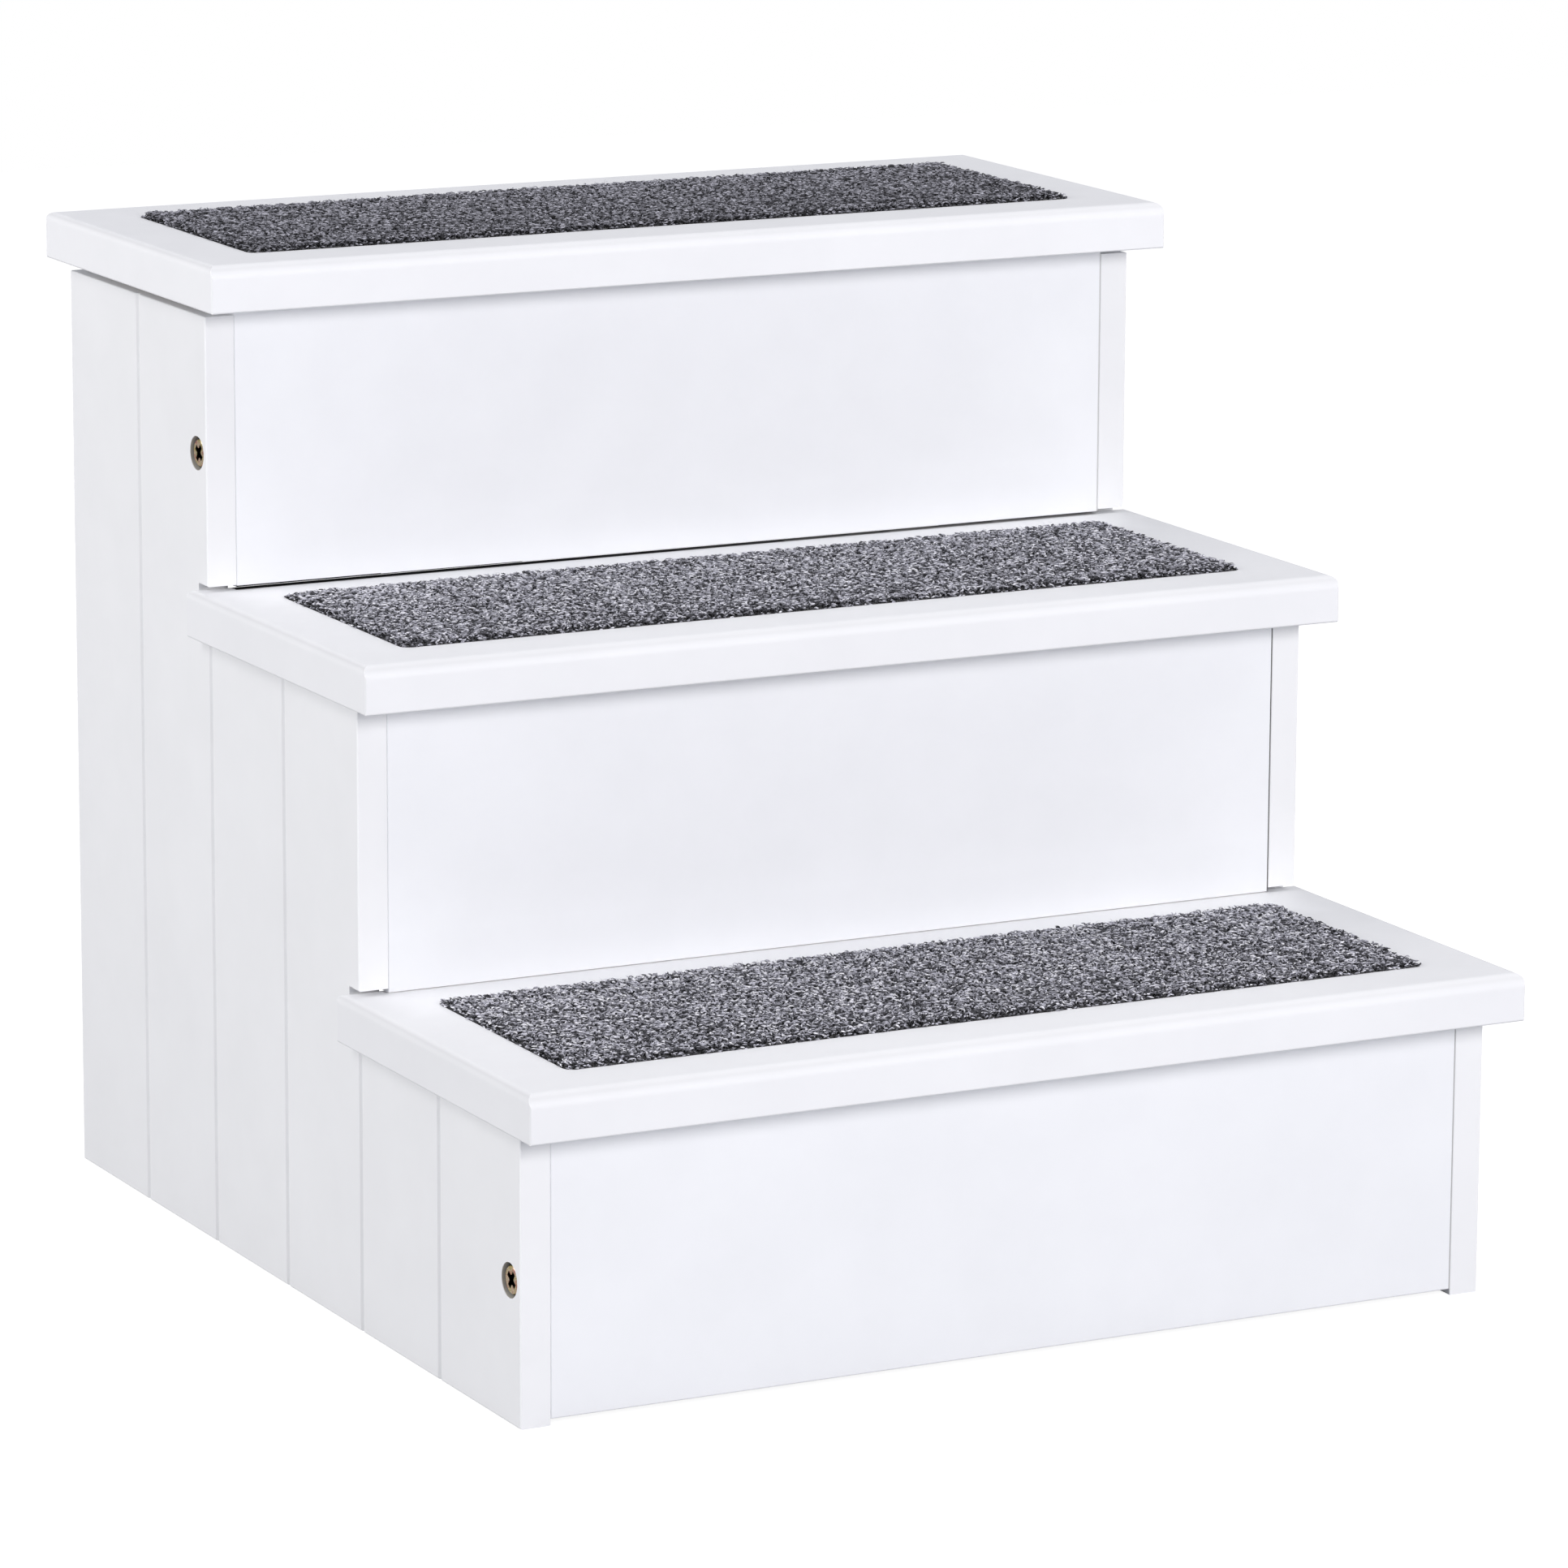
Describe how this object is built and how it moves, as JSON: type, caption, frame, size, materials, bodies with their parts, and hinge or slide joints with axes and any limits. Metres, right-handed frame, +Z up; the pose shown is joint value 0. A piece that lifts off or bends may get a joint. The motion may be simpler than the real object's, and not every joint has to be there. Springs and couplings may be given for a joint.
{
  "type": "pet stairs",
  "caption": "Free-standing stepped stairs for a pet: grooved side panels carry risers and overhanging round-nosed treads, each inlaid with a carpet pad.",
  "frame": {"origin": "middle of the outline on the floor", "axes": "+Z up, the stairs climb towards +Y, +X to the right of someone who faces the steps"},
  "size_m": [0.411, 0.4436, 0.385],
  "materials": {
    "panel_paint": "satin white paint over a grooved board",
    "riser_paint": "satin white paint",
    "tread_paint": "satin white paint",
    "carpet_pile": "short heather-grey pile",
    "bare_wood": "planed softwood, not painted",
    "dowel_wood": "fluted-grade hardwood, not painted",
    "bolt_plating": "yellow zinc plating",
    "bare_steel": "bright zinc plating"
  },
  "bodies": {
    "root": {"left_side_panel": "panel_paint", "right_side_panel": "panel_paint", "bottom_riser": "riser_paint", "middle_riser": "riser_paint", "top_riser": "riser_paint", "bottom_tread": "tread_paint", "middle_tread": "tread_paint", "top_tread": "tread_paint", "bottom_carpet": "carpet_pile", "middle_carpet": "carpet_pile", "top_carpet": "carpet_pile", "upper_back_rail": "riser_paint", "lower_back_rail": "riser_paint", "bottom_left_cleat": "bare_wood", "bottom_right_cleat": "bare_wood", "middle_left_cleat": "bare_wood", "middle_right_cleat": "bare_wood", "top_left_cleat": "bare_wood", "top_right_cleat": "bare_wood", "left_riser_bolts": "bolt_plating", "right_riser_bolts": "bolt_plating", "barrel_nuts": "bare_steel", "riser_dowels": "dowel_wood", "rail_dowels": "dowel_wood", "cleat_screws": "bare_steel", "tread_screws": "bare_steel"}
  },
  "joints": []
}
